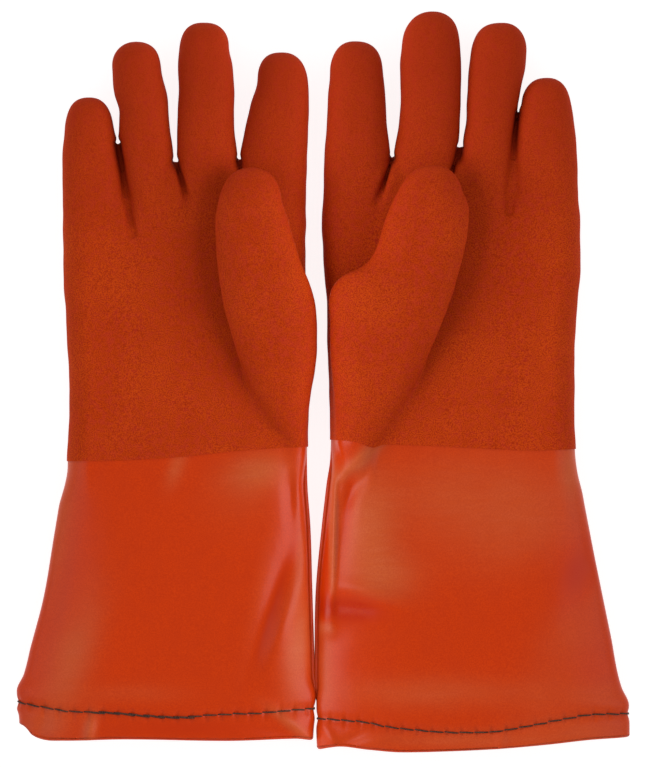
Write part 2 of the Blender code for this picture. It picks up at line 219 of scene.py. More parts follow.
# Outlines are rows of (y, left edge, right edge), from the lowest to the highest. The palm and its
# block also have the y where their end starts to round and its y. The thumb and fingers have their
# tip's x and y and the y where they start to round. Lines across a glove are points of (x, y).
# A crease has its path down from between two fingers, and its half width and its floor's height at
# both ends. The backtack is the stretch of x where the stitches run twice. Soft folds are (x, y,
# half length, half width, angle in degrees, height). Dust patches and painted light are the same with
# a strength: a pale dusty bloom that is partly a painted highlight where folds catch the light, and
# below 0 painted shade, a darker sheet in the valleys of folds.
RIGHT = {
    "palm": ([(-60, -133, -9.5), (-41, -132.8, -9.4), (-9, -131.5, -8.2), (26, -132.8, -8.4),
        (52, -133.7, -9.8), (78, -134.3, -9.8)], (78, 96)),
    "block": ([(50, -103, -13.5), (84, -101.5, -12.5), (104, -101, -12)], (100, 112)),
    "creases": [
        ([(-44, 114.5), (-43, 106), (-41.4, 93)], (0.9, 0.3), (8, 24.5)),
        ([(-76.7, 113.5), (-73.9, 105), (-69.8, 91)], (1.2, 0.4), (8, 23.5)),
        ([(-106.5, 122.5), (-103.6, 105), (-101.2, 92), (-98.8, 76)], (1.9, 0.7), (8, 23.5)),
    ],
    "fingers": {
        "index": ([(80, -44.5, -9.7), (115, -43.6, -9.1), (129, -41.3, -8.4), (142, -38.2, -7.9),
            (156, -34.6, -8.6)], (-22.6, 169.5), 154),
        "middle": ([(80, -76.6, -44.6), (115, -76.2, -44.9), (131, -75.8, -46.4), (152, -75.1, -46.6),
            (163, -75.6, -47.4), (173, -74.8, -49.2)], (-61.8, 185), 171),
        "ring": ([(75, -100.9, -77), (100, -102.4, -77.2), (112, -104.6, -77.6), (122, -106.3, -78.4),
            (129, -106, -79.6), (138, -105.7, -80.4), (148, -108.4, -81.2), (160, -109.3, -84)],
            (-96.8, 175), 161),
        "little": ([(45, -133.8, -101), (82, -134.4, -100.8), (100, -135, -102.8), (120, -134.8, -106),
            (130, -134, -108.4)], (-121.4, 146.4), 127),
    },
    "thumb": ([(-30, -20.5, -8.9), (-22, -28.2, -8.8), (-8, -35.8, -7.4), (8, -42.3, -4.6),
        (28, -48.6, -3.8), (45, -52.6, -6), (62, -55, -12.4), (82, -55.6, -18.6), (94, -53.9, -21.6)],
        (-37.4, 109), 88),
    "thumb_tops": [
        (-36, 25), (-24, 29.5), (-5, 36), (15, 43), (35, 48), (55, 49.4), (92, 48.6), (109, 47.6),
    ],
    "wrist": [
        (-160, -41.6), (-132, -41), (-102, -40.3), (-75, -38.8), (-42, -35.4), (-9, -33.6), (20, -33),
    ],
    "sleeve": [
        (-190, -157.2, -6), (-179, -157.6, -5.4), (-175, -158.6, -4.8), (-165, -158.6, -4.5),
        (-155, -155, -4.9), (-139, -151.4, -5.3), (-111, -144.8, -6.2), (-78, -139.6, -7.2),
        (-50, -135.4, -9.2), (-30, -133.2, -9.6),
    ],
    "stitches": [
        (-158, -164.9), (-145, -167.2), (-132, -169), (-108, -169.8), (-91, -171.3), (-75, -171.9),
        (-50, -170.6), (-31, -170), (-15, -168.6), (-3, -168.4),
    ],
    "mouth": [
        (-160, -176.4), (-155.5, -177.2), (-153.5, -178.6), (-150.5, -181.8), (-134, -184.4),
        (-102, -183.6), (-50, -184.4), (-15, -183.6), (-4, -184.9),
    ],
    "thumb_side": 1,
    "backtack": (-113, -61),
    "folds": [
        (-32, -45, 13, 8, 15, 1.9), (-76, -43, 11, 5, 70, 0.7), (-13.5, -50, 20, 2.6, 92, 1.2),
        (-18, -56, 16, 3, 92, -1.2), (-17.5, -116, 30, 6, 70, 2.8), (-27, -110, 28, 4, 72, -0.8),
        (-34, -105, 30, 7, 78, 0.3), (-19, -140, 24, 10, 86, 2), (-137, -108, 36, 4, 78, -1),
        (-118, -140, 26, 12, 70, 1), (-60, -100, 40, 26, 10, 0.7),
    ],
    # Pale dust patches, partly painted highlights where folds catch the light; below 0, painted shade in valleys
    "bloom": [
        (-33, -46, 16, 9, 12, 0.9), (-76, -44, 10, 4, 70, 0.7), (-134, -60, 46, 6, 82, 0.6),
        (-130, -142, 34, 11, 72, 0.75), (-13, -134, 27, 8, 85, 1), (-33, -108, 34, 4, 78, 0.2),
        (-25, -112, 30, 2.4, 72, -0.7), (-12, -88, 26, 3, 88, 0.6), (-143, -176, 16, 7, 0, 0.4),
        (-70, -178, 40, 5, 0, -0.5), (-120, -178, 9, 4, 80, 0.9), (-100, -160, 26, 5, 0, 0.3),
        (-17, -176, 14, 3, -38, 0.9), (-40, -58, 22, 18, 0, 0.2),
    ],
    "hem_folds": [
        (-120, -178, 9, 2.4, 80, 1), (-15, -177, 13, 3, -38, 1.2), (-26, -180, 12, 3, -8, -0.8),
        (-100, -180, 10, 4, 0, 0.4), (-145, -178, 8, 4, 70, -0.9), (-60, -179, 14, 4, 4, 0.4),
    ],
}
LEFT = {
    "palm": ([(-60, 4.4, 129.8), (-35, 4.9, 129.6), (-14, 4.1, 128.8), (15, 1.8, 128.8), (38, 1.4, 130.2),
        (62, -0.5, 131.4), (84, -0.8, 131.2)], (84, 100)),
    "block": ([(50, 3.4, 97), (84, 3, 96), (104, 2.8, 95.6)], (102, 114)),
    "creases": [
        ([(35, 115.5), (31.6, 105), (27.6, 92)], (1, 0.3), (8, 24)),
        ([(69.7, 121), (65.2, 107), (60, 96)], (1, 0.3), (8, 22)),
        ([(99.4, 138), (98, 124), (97, 112), (94.9, 87)], (1.1, 0.7), (8, 22.5)),
    ],
    "fingers": {
        "index": ([(75, -0.8, 34.4), (114, -0.1, 34.2), (132, 1, 32.2), (147, 1.8, 31.5),
            (159, 2.6, 30.2)], (16.2, 175.4), 158),
        "middle": ([(75, 35.2, 68.4), (115, 35.4, 68.8), (131, 37.9, 69.6), (149, 39.2, 70.4),
            (162, 38.8, 70.4), (173, 39.8, 69.8)], (55.4, 190.6), 171),
        "ring": ([(75, 69.6, 95.6), (104, 69.6, 96.6), (124, 71.4, 97.4), (134, 73, 98.6),
            (144, 73.2, 99.8), (152, 73.8, 101.4), (161, 74.4, 103.3), (170, 75.6, 104.2)], (90.6, 185),
            168),
        "little": ([(55, 96.4, 131.2), (93, 95.9, 130.8), (110, 96.7, 130.3), (127, 97.8, 129.4),
            (136, 99.2, 128.4), (144, 101.6, 127.2)], (114.2, 156.4), 140),
    },
    "thumb": ([(-36, 6, 26), (-28, 5.6, 31.4), (-10, 5, 42), (10, 3.2, 51.4), (32, 2.6, 60.8),
        (46, 3.2, 65.8), (51.5, 6.6, 67.2), (55, 11.5, 68.2), (57.2, 17, 68.8), (61, 22.3, 69.9),
        (68, 26.4, 71.6), (78, 29.6, 73.2), (88, 33, 73.6), (98, 36.4, 71.6)], (55.4, 110.2), 86),
    "thumb_tops": [
        (-44, 30.5), (-30, 32.5), (-12, 36), (10, 42), (32, 47.6), (52, 49.4), (92, 48.6), (110, 47.6),
    ],
    "wrist": [
        (-20, -30), (5, -30.1), (16, -31), (25, -33.9), (31, -32.4), (56, -33.1), (85, -34.5),
        (108, -35.4), (130, -34.7), (160, -34.2),
    ],
    "sleeve": [
        (-194, -3.4, 157.2), (-172, -4.4, 157.2), (-165, -4.2, 156.6), (-158, -5, 153.2),
        (-131, -5.1, 147.4), (-108, -4.5, 142.6), (-79, -1.6, 136.8), (-50, 1.9, 131.6),
        (-26, 4.7, 129.4),
    ],
    "stitches": [
        (-6, -173.4), (5, -173.7), (22, -175.1), (33, -177.1), (50, -179), (68, -180), (85, -179.6),
        (102, -177.2), (114, -174.8), (131, -171.8), (142, -170.7), (158, -171),
    ],
    "mouth": [
        (-6, -189.8), (8, -187.6), (22, -189), (40, -190.3), (68, -189.6), (91, -188.4), (114, -186.4),
        (137, -184), (158, -183),
    ],
    "thumb_side": -1,
    "backtack": (0, 0),
    "folds": [
        (22, -80, 33, 19, 90, 2.6), (4.6, -76, 31, 1.9, 89, 2.6), (12, -66, 24, 3.4, 84, -1.3),
        (16, -42, 15, 2.5, 40, 2.9), (24, -108, 18, 4.2, -12, 2), (12, -117, 17, 6.5, -4, -2.4),
        (1, -115, 9, 3.5, 90, 1.4), (0, -127, 7, 4.5, 0, 1.5), (16, -54, 14, 3.5, 60, -1.6),
        (134, -100, 18, 6, 75, -1.3), (126, -52, 22, 7, 95, 0.9), (62, -70, 34, 20, 12, 0.7),
        (100, -140, 40, 18, 60, 0.9), (60, -158, 34, 7, -4, 0.8),
    ],
    # Pale dust patches, partly painted highlights where folds catch the light; below 0, painted shade in valleys
    "bloom": [
        (22, -78, 30, 14, 90, 0.95), (34, -100, 16, 12, 0, 0.6), (75, -58, 46, 22, 4, 0.6),
        (100, -78, 36, 18, 20, 0.35), (127, -44, 14, 6, 90, 0.8), (4.2, -76, 32, 1.8, 89, 1.6),
        (12, -64, 22, 3, 84, -0.6), (0.2, -80, 34, 1.5, 90, -0.7), (17, -41, 16, 3.4, 40, 1.2),
        (12, -117, 16, 5.5, -4, -2), (129, -98, 12, 7, 70, -0.9), (58, -160, 50, 8, 0, 0.55),
        (122, -140, 40, 14, 64, 0.3), (142, -162, 18, 8, 0, 0.4), (74, -184, 66, 5, 0, 0.55),
        (-1, -146, 22, 5, 90, 0.6), (-1, -126, 5, 4, 0, 0.7), (130, -178, 26, 7, 0, 0.5),
    ],
    "hem_folds": [
        (3, -183, 8, 2.6, -62, 1.3), (13, -184, 9, 2.6, 22, -1), (27, -184, 9, 3, 8, 0.9),
        (90, -186, 12, 3, 75, 0.6), (120, -181, 12, 4, 10, 0.5), (52, -186, 12, 4, 0, -0.5),
    ],
}
GLOVES = {"right": RIGHT, "left": LEFT}
FINGERS = ("index", "middle", "ring", "little")


# -------- curves and distances


def smooth_curve(points, at):
    """A curve through the points that doesn't overshoot them, read at the given places."""
    x, y = np.array(points, float).T
    run = np.diff(x)
    slope = np.diff(y) / run
    lean = np.empty_like(x)
    lean[1:-1] = (slope[:-1] + slope[1:]) / 2
    lean[1:-1][slope[:-1] * slope[1:] <= 0] = 0
    lean[0], lean[-1] = slope[0], slope[-1]
    low = np.clip(np.searchsorted(x, at) - 1, 0, len(run) - 1)
    t = np.clip((at - x[low]) / run[low], 0, 1)
    span = run[low]
    return (
        (1 + 2 * t) * (1 - t) ** 2 * y[low]
        + t * (1 - t) ** 2 * span * lean[low]
        + t**2 * (3 - 2 * t) * y[low + 1]
        + t**2 * (t - 1) * span * lean[low + 1]
    )


def edges_at(rows, y):
    """Left and right edge of an outline at each y."""
    return (smooth_curve([(r[0], r[side]) for r in rows], y) for side in (1, 2))


def smoothstep(a, b, x):
    """0 before a, 1 after b, with a smooth rise between them."""
    t = np.clip((x - a) / (b - a), 0, 1)
    return t * t * (3 - 2 * t)


def join(a, b, reach):
    """The union of two distances, filleted where they come within reach of each other."""
    near = np.maximum(reach - np.abs(a - b), 0) / reach
    return np.minimum(a, b) - near * near * reach / 4


def bar_distance(p, bar, low, high, square):
    """Distance to a bar of superelliptic section that closes to a rounded end, as in RIGHT."""
    rows, tip, start = bar
    half = (rows[-1][2] - rows[-1][1]) / 2
    left, right = edges_at([*rows, (tip[1], tip[0] - half, tip[0] + half)], p[:, 1])
    half_wide, half_high, end = (right - left) / 2, (high - low) / 2, tip[1] - start
    a = np.abs(p[:, 0] - (left + right) / 2) / half_wide
    b = np.abs(p[:, 2] - (high + low) / 2) / half_high
    e = np.maximum(p[:, 1] - start, 0) / end
    g = np.maximum((a**square + b**square + e**square) ** (1 / square), 1e-3)
    steep = np.sqrt(
        (a ** (square - 1) / half_wide) ** 2
        + (b ** (square - 1) / half_high) ** 2
        + (e ** (square - 1) / end) ** 2
    )
    found = (g - 1) / np.maximum(steep * g ** (1 - square), 1e-3)
    return np.maximum(found, -np.minimum(half_wide, half_high))


def slab_distance(p, slab, high):
    """Distance to a slab with half-round sides and a slightly crowned top, rounded at its end."""
    rows, end = slab
    left, right = edges_at(rows, p[:, 1])
    half_wide = (right - left) / 2
    across = np.abs(p[:, 0] - (left + right) / 2)
    radius = high / 2 * (1 - PALM_CROWN * np.minimum(across / half_wide, 1) ** 4)
    over = np.stack([across - (half_wide - radius), p[:, 1] - end[0]], 1)
    flat = np.hypot(*np.maximum(over, 0).T * np.array([[1], [high / 2 / (end[1] - end[0])]]))
    return np.hypot(flat, p[:, 2] - high / 2) - radius


# -------- one hand's shape


class Hand:
    """A coated hand as a distance field, with the planes where it bends."""

    def __init__(self, side, joints):
        self.side, self.glove = side, GLOVES[side]
        self.planes = {}
        for joint in joints:
            if joint["name"].startswith(side) and joint["type"] == "hinge":
                axis = np.array(joint["axis"])
                along = np.array([-axis[1], axis[0], 0]) * (-1 if "thumb" in joint["name"] else 1)
                self.planes[joint["name"]] = (np.array(joint["pos_m"]) / MM, along)

    def past(self, joint, p):
        """How far past a joint's axis each point is, towards the fingertips."""
        at, along = self.planes[f"{self.side}_{joint}"]
        return (p - at) @ along

    def finger(self, name, p):
        """Distance from one finger, which thins towards its tip and sinks into the palm."""
        rows, tip, start = bar = self.glove["fingers"][name]
        high = FINGER_HIGH - FINGERTIP_DROP * smoothstep(start - 60, tip[1], p[:, 1])
        sunk = ROOT_SUNK * (1 - smoothstep(rows[0][0] - 22, rows[0][0] + 4, p[:, 1]))
        return bar_distance(p, bar, FINGER_LOW, high, FINGER_SQUARE) + sunk

    def thumb(self, p):
        """Distance from the thumb, whose underside slopes down into the palm at its root."""
        high = smooth_curve(self.glove["thumb_tops"], p[:, 1])
        low = THUMB_LOW + 0.34 * np.clip(self.past("thumb_lift", p) - THUMB_CUT, -50, 0)
        low = np.minimum(low, high - THUMB_THICK)
        return bar_distance(p, self.glove["thumb"], low, high, THUMB_SQUARE)

    def fingers(self, p):
        """Distances from the four fingers, one row each."""
        return np.stack([self.finger(name, p) for name in FINGERS])

    def body(self, p):
        """Distance from the palm, and from the block that the fingers stand on."""
        palm = slab_distance(p, self.glove["palm"], PALM_HIGH)
        return join(palm, slab_distance(p, self.glove["block"], BLOCK_HIGH), BLOCK_FILLET)

    def distance(self, p):
        """Distance from the hand's surface. The hand runs on past the wrist, inside the sleeve."""
        found = self.body(p)
        for finger in self.fingers(p):
            found = join(found, finger, FINGER_FILLET)
        for crease in self.glove["creases"]:
            gap, web = crease_distance(p, *crease)
            found = join(-join(-found, gap, CREASE_FILLET), web, WEB_FILLET)
        rooted = 1 - smoothstep(-34, 0, self.past("thumb_lift", p))
        found = join(found, self.thumb(p), THUMB_FILLET + THUMB_ROOT_FILLET * rooted)
        return np.maximum(found + uneven(p), FLAT_UNDER - p[:, 2])

    def divided(self, p):
        """The same, with a gap between two fingers down to the lower of their knuckles."""
        found = self.distance(p)
        own = self.fingers(p)
        past = np.stack([self.past(f"{name}_knuckle", p) > 0 for name in FINGERS])
        nearest, next_to = own.argsort(0)[:2]
        row = np.arange(len(p))
        first, second = own[nearest, row], own[next_to, row]
        apart = (past[nearest, row] | past[next_to, row]) & (first < self.thumb(p))
        apart &= second - first < LINING_NEAR
        return np.where(apart, np.maximum(found, first + LINING_APART), found)

    def piece_of(self, p):
        """The name of the piece that each point belongs to."""
        names = np.full(len(p), "palm", dtype=object)
        own = self.fingers(p)
        nearest = own.argmin(0)
        for k, name in enumerate(FINGERS):
            root = (nearest == k) & (self.past(f"{name}_knuckle", p) > 0)
            names[root] = f"{name}_root"
            names[root & (self.past(f"{name}_middle", p) > -self.split(name))] = f"{name}_tip"
        flap = self.thumb(p) < np.minimum(own.min(0), self.body(p))
        names[flap & (self.past("thumb_lift", p) > THUMB_CUT)] = "thumb"
        return names

    def split(self, finger):
        """How far before its middle joint a finger's root piece ends."""
        knuckle, along = self.planes[f"{self.side}_{finger}_knuckle"]
        middle = self.planes[f"{self.side}_{finger}_middle"][0]
        return SPLIT * float((middle - knuckle) @ along)

    def bend_line(self, joint, start, end):
        """The two points between which a bend spreads, so far past its axis, in metres."""
        at, along = self.planes[f"{self.side}_{joint}"]
        return [Vector((at + along * d) * MM) for d in (start, end)]


def crease_distance(p, path, half_widths, floors):
    """Distances to the narrow gap above a crease, which runs along a path and gets shallower, and
    to the web below it."""
    gap = np.full(len(p), 1e9)
    web = gap.copy()
    steps = np.linspace(0, 1, len(path))
    for (x0, y0), (x1, y1), t0, t1 in zip(path[:-1], path[1:], steps[:-1], steps[1:]):
        run = np.array([x1 - x0, y1 - y0])
        t = np.clip(((p[:, :2] - (x0, y0)) @ run) / (run @ run), 0, 1)
        away = np.hypot(p[:, 0] - x0 - t * run[0], p[:, 1] - y0 - t * run[1])
        share = t0 + t * (t1 - t0)
        side = away - np.interp(share, (0, 1), half_widths)
        under = p[:, 2] - np.interp(share, (0, 1), floors)
        gap = np.minimum(gap, np.maximum(side - CREASE_LEAN * (p[:, 2] - CREASE_LEVEL), -under))
        web = np.minimum(web, np.maximum(side - WEB_WIDER, under))
    return gap, np.maximum(web, p[:, 1] - path[0][1])


def uneven(p):
    """The slight waviness of a dipped surface."""
    x, y, z = p.T
    return (
        0.16 * np.sin(x / 7.1 + 1.3 * np.sin(y / 11.3)) * np.sin(y / 8.7 + z / 9.1)
        + 0.10 * np.sin(x / 3.4 + y / 5.3) * np.sin(y / 3.9 - x / 6.1 + z / 4.3)
    )


def gradient(distance, p, step=0.3):
    """The slope of a distance at each point, which points away from the surface."""
    slopes = [distance(p + step * e) - distance(p - step * e) for e in np.eye(3)]
    return np.stack(slopes, 1) / (2 * step)


# -------- surfaces from distances


def sampled(distance, low, cell, shape):
    """The distance at each corner of a grid, worked out finely only near the surface."""
    stride = 4
    reach = stride * cell * 1.8
    coarse = [np.arange(0, n + stride, stride) for n in shape]
    points = np.stack(np.meshgrid(*coarse, indexing="ij"), -1).reshape(-1, 3)
    rough = distance(low + points * cell).reshape([len(c) for c in coarse])

    def fine(grid):
        for axis in range(3):
            grid = np.repeat(grid, stride, axis)
        return grid[: shape[0], : shape[1], : shape[2]]

    spread = fine(rough)
    for corner in np.ndindex(2, 2, 2):
        block = fine(np.roll(rough, [-c for c in corner], (0, 1, 2)))
        spread = np.where(np.abs(block) < np.abs(spread), block, spread)
    close = np.abs(spread) < reach
    spread[close] = distance(low + np.argwhere(close) * cell)
    return spread


def surface(distance, low, high, cell):
    """Points and quads of the surface where distance is 0, by surface nets."""
    shape = np.ceil((high - low) / cell).astype(int) + 1
    field = sampled(distance, low, cell, shape)
    inside = field < 0
    corners = [np.array(c) for c in np.ndindex(2, 2, 2)]
    view = [slice(0, -1), slice(1, None)]
    block = np.stack([inside[tuple(view[k] for k in c)] for c in corners], -1)
    crossed = block.any(-1) & ~block.all(-1)
    index = np.full(crossed.shape, -1)
    cells = np.argwhere(crossed)
    index[crossed] = np.arange(len(cells))
    total, count = np.zeros((len(cells), 3)), np.zeros(len(cells))
    for a in corners:
        for axis in range(3):
            if a[axis]:
                continue
            b = a + np.eye(3, dtype=int)[axis]
            va, vb = field[tuple((cells + a).T)], field[tuple((cells + b).T)]
            cut = (va < 0) != (vb < 0)
            share = va[cut] / (va[cut] - vb[cut])
            total[cut] += a + share[:, None] * (b - a)
            count[cut] += 1
    points = low + (cells + total / count[:, None]) * cell
    faces = []
    for axis in range(3):
        across = np.eye(3, dtype=int)[[(axis + 1) % 3, (axis + 2) % 3]]
        behind, ahead = [slice(None)] * 3, [slice(None)] * 3
        behind[axis], ahead[axis] = view
        change = np.argwhere(inside[tuple(behind)] != inside[tuple(ahead)])
        sideways = change @ across.T
        change = change[((sideways > 0) & (sideways < across @ index.shape)).all(1)]
        around = [change - np.dot(step, across) for step in ((0, 0), (1, 0), (1, 1), (0, 1))]
        quads = np.stack([index[tuple(at.T)] for at in around], 1)
        outward = inside[tuple(change.T)]
        quads[~outward] = quads[~outward][:, ::-1]
        faces.append(quads)
    return points, np.concatenate(faces)


def edges_of(faces):
    """Each quad's four edges, as pairs of points."""
    return np.concatenate([faces[:, [k, (k + 1) % 4]] for k in range(4)])


def relaxed(points, faces, distance, rounds):
    """The points evened out along the surface, and put back on it."""
    edges = edges_of(faces)
    for _ in range(rounds):
        total, count = np.zeros_like(points), np.zeros(len(points))
        for a, b in ((0, 1), (1, 0)):
            np.add.at(total, edges[:, a], points[edges[:, b]])
            np.add.at(count, edges[:, a], 1)
        points = points + 0.6 * (total / count[:, None] - points)
        slope = gradient(distance, points)
        size = np.maximum((slope**2).sum(1), 0.2)
        points = points - np.clip(distance(points) / size, -1, 1)[:, None] * slope
    return points


def unit(v):
    return v / np.maximum(np.linalg.norm(v, axis=-1, keepdims=True), 1e-9)


# -------- meshes


def new_object(name, points, faces, look, normals=None):
    """A piece from points in millimetres. faces is an array of quads, or a list of polygons."""
    mesh = bpy.data.meshes.new(name)
    polygons = faces.tolist() if isinstance(faces, np.ndarray) else faces
    mesh.from_pydata((np.asarray(points) * MM).tolist(), [], polygons)
    mesh.materials.append(look)
    mesh.shade_smooth()
    mesh.update()
    if normals is not None:
        mesh.normals_split_custom_set_from_vertices(np.asarray(normals).tolist())
    return placed(name, mesh)


def placed(name, data):
    """An object with this data, in the scene."""
    made = bpy.data.objects.new(name, data)
    bpy.context.scene.collection.objects.link(made)
    return made


def wall(points, faces, normals, thick):
    """A closed wall from an open surface: the surface, its copy thick below it, and rims."""
    used, faces = np.unique(faces, return_inverse=True)
    faces = faces.reshape(-1, 4)
    points, normals = points[used], normals[used]
    n = len(points)
    edges = edges_of(faces)
    _, first, uses = np.unique(np.sort(edges, 1), axis=0, return_index=True, return_counts=True)
    rim = edges[first[uses == 1]]
    sides = np.stack([rim[:, 1], rim[:, 0], rim[:, 0] + n, rim[:, 1] + n], 1)
    all_points = np.concatenate([points, points - thick * normals])
    all_faces = np.concatenate([faces, faces[:, ::-1] + n, sides])
    return all_points, all_faces, np.concatenate([normals, -normals])


def straightened(hand, points, faces, names):
    """The points between two fingers' pieces, moved sideways onto the line between the fingers."""
    own = hand.fingers(points[faces].mean(1)).argmin(0)
    pieces = np.unique(names, return_inverse=True)[1]

    def ends(value):
        """The lowest and the highest value of the faces around each point."""
        low, high = np.full(len(points), len(faces)), np.full(len(points), -1)
        np.minimum.at(low, faces.ravel(), np.repeat(value, 4))
        np.maximum.at(high, faces.ravel(), np.repeat(value, 4))
        return low, high

    (first, last), (one, other) = ends(own), ends(pieces)
    between = np.flatnonzero((first < last) & (one < other))
    own = hand.fingers(points[between])
    row = np.arange(len(between))
    lean = own[first[between], row] - own[last[between], row]
    moved = points.copy()
    moved[between, 0] += hand.glove["thumb_side"] * np.clip(lean / 2, -1.2, 1.2)
    return moved


def partitions(hand, cell):
    """Walls on both sides of each gap between fingers. They lie inside the hand, and show where the
    fingers bend apart. {piece name: (points, faces, normals)}"""
    made = {}
    for k, name in enumerate(FINGERS):
        beside = [FINGERS[other] for other in (k - 1, k + 1) if 0 <= other < len(FINGERS)]

        def own(p, name=name):
            return hand.finger(name, p) + PARTITION_IN

        rows = hand.glove["fingers"][name][0]
        low = np.array([min(r[1] for r in rows) - 4, PARTITION_SPAN[0], -2], float)
        high = np.array([max(r[2] for r in rows) + 4, PARTITION_SPAN[1], FINGER_HIGH + 4], float)
        points, faces = surface(own, low, high, cell)
        middle = points[faces].mean(1)
        kept = (hand.distance(points) < -0.4 * PARTITION_IN)[faces].all(1)
        kept &= np.min([hand.finger(other, middle) for other in beside], 0) < PARTITION_NEAR
        kept &= np.any([hand.past(f"{other}_knuckle", middle) > 0 for other in (name, *beside)], 0)
        faces, middle = faces[kept], middle[kept]
        normals = unit(gradient(own, points))
        past = hand.past(f"{name}_knuckle", middle) > 0
        tip = past & (hand.past(f"{name}_middle", middle) > -hand.split(name))
        for piece, mask in (("palm", ~past), (f"{name}_root", past & ~tip), (f"{name}_tip", tip)):
            if mask.any():
                made.setdefault(piece, []).append(wall(points, faces[mask], normals, PARTITION))
    return made


def hand_pieces(hand, offset, thick, cell, rounds, look, label):
    """The pieces of one layer of a hand, offset below its surface. {piece name: object}"""
    field = hand.divided if offset else hand.distance

    def distance(p):
        return field(p) + offset

    low, high = hand_box(hand.glove)
    points, faces = surface(distance, low, high, cell)
    points = relaxed(points, faces, distance, rounds)
    wrist = smooth_curve(hand.glove["wrist"], points[:, 0])
    over = points[:, 1] - wrist > 0.12 * cell
    faces = faces[over[faces].any(1)]
    points[~over, 1] = wrist[~over]
    normals = unit(gradient(distance, points))
    names = hand.piece_of(points[faces].mean(1))
    inside = {}
    if not offset:
        points = straightened(hand, points, faces, names)
        inside = partitions(hand, cell)
    made = {}
    for name in sorted(set(names)):
        shells = [wall(points, faces[names == name], normals, thick), *inside.get(name, [])]
        starts = np.cumsum([0, *(len(shell[0]) for shell in shells)])
        quads = np.concatenate([shell[1] + start for shell, start in zip(shells, starts)])
        all_points, all_normals = (np.concatenate([shell[i] for shell in shells]) for i in (0, 2))
        title = f"{hand.side}_{name}_{label}"
        made[name] = new_object(title, all_points, quads, look, all_normals)
    return made


def hand_box(glove, margin=6.0, lowest=-50.0):
    """The corners of a box around a hand, down to just past its wrist."""
    tip = max(tip[1] for _, tip, _ in glove["fingers"].values())
    left, right = min(r[1] for r in glove["palm"][0]), max(r[2] for r in glove["palm"][0])
    low = np.array([left - margin, lowest, -margin])
    return low, np.array([right + margin, tip + margin, THUMB_HIGH + margin])


# -------- joints


def bend_hand(hand, made, layer, slot):
    """Each piece of a hand bends across its own joint, and stands for its CAD node."""
    for piece in made.values():
        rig.slot(piece, slot)
    whole = f"{hand.side}_hand"

    def bend(piece, parent, child, node, *line):
        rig.blend(made[piece], parent, child, *hand.bend_line(*line))
        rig.replaces(made[piece], f"{node}_{layer}")

    bend("palm", f"{hand.side}_gauntlet", whole, whole, "wrist", -WRIST_BEND, WRIST_BEND)
    thumb = f"{hand.side}_thumb"
    bend("thumb", whole, thumb, thumb, "thumb_lift", 3.0, THUMB_BEND)
    for name in FINGERS:
        lower, tip = f"{hand.side}_{name}_lower", f"{hand.side}_{name}_tip"
        before = hand.split(name)
        ends = 1.5, before / SPLIT - before - 2
        bend(f"{name}_root", whole, lower, lower, f"{name}_knuckle", *ends)
        bend(f"{name}_tip", lower, tip, tip, f"{name}_middle", 2 - before, before + 2)


# -------- gauntlets


class Sleeve:
    """A gauntlet as rings of points from the wrist to the mouth of the glove."""

    def __init__(self, hand):
        self.hand, self.glove, self.made = hand, hand.glove, {}

    def ring(self, share, inset, columns=SLEEVE_COLUMNS, beyond=0.0):
        """Points around the sleeve. share is 0 at the wrist, 1 at the stitches and 2 at the mouth.
        Column 0 is at the right edge, and the columns run over the top to the left edge."""
        if (share, columns) not in self.made:
            self.made[share, columns] = self.outside(share, columns)
        ring = self.made[share, columns]
        ring = ring - np.reshape(inset, (-1, 1)) * unit_normals(ring)
        ring[:, 1] -= beyond
        return ring

    def outside(self, share, columns):
        """The outside of the sheet at a share, leaving room for the seam's lip at its side."""
        y0 = np.interp(share, (0, 1, 2), SLEEVE_LEVELS)
        left, right = (float(e[0]) for e in edges_at(self.glove["sleeve"], np.array([y0])))
        lip = SEAM_WIDE * float(1 - smoothstep(0.88, 0.95, share))
        left, right = (left, right - lip) if self.glove["thumb_side"] > 0 else (left + lip, right)
        half_high = (np.interp(share, *SLEEVE_HIGH) - FLAT_UNDER) / 2
        section = oval(columns, (right - left) / 2, half_high, np.interp(share, *SLEEVE_SIDES))
        x = (left + right) / 2 + section[:, 0]
        marks = [self.edge(x, k) for k in ("wrist", "stitches", "mouth")]
        part, start = (share, 0) if share < 1 else (share - 1, 1)
        y = marks[start] + (marks[start + 1] - marks[start]) * part
        ring = np.stack([x, y, FLAT_UNDER + half_high + section[:, 1]], 1)
        return self.tucked(self.folded(ring), marks[0])

    def folded(self, p):
        """The points, moved by the sleeve's soft folds. Its underside stays flat on the table."""
        x, y, z = p.T
        lift = 0.35 * np.sin(x / 19 + y / 37) * np.sin(y / 23 - x / 41)
        lift += swell(self.glove["folds"], x, y)
        lift *= smoothstep(2, 16, y - self.edge(x, "stitches"))
        lift += swell(self.glove["hem_folds"], x, y)
        return np.stack([x, y, z + smoothstep(8, 17, z) * lift], 1)

    def edge(self, x, name):
        """The y of a line across the glove, by its name in GLOVES."""
        return smooth_curve(self.glove[name], x)

    def tucked(self, ring, wrist):
        """The points near the wrist, drawn to just under the coating of the hand."""
        weight = 1 - smoothstep(0, TUCK, wrist - ring[:, 1])
        near = weight > 0
        if not near.any():
            return ring
        p = ring[near].copy()
        for _ in range(6):
            slope = gradient(self.hand.distance, p)
            slope[:, 1] = 0
            size = np.maximum((slope**2).sum(1), 0.3)
            p -= np.clip((self.hand.distance(p) + WRIST_STEP) / size, -2, 2)[:, None] * slope
        moved = ring.copy()
        moved[near] += weight[near, None] * (p - ring[near])
        return moved


def swell(folds, x, y):
    """The height at each point of soft folds, given as in GLOVES."""
    total = np.zeros_like(x)
    for at_x, at_y, long, wide, angle, height in folds:
        c, s = math.cos(math.radians(angle)), math.sin(math.radians(angle))
        u, v = (x - at_x) * c + (y - at_y) * s, (y - at_y) * c - (x - at_x) * s
        total += height * np.exp(-((u / long) ** 2) - (v / wide) ** 2)
    return total


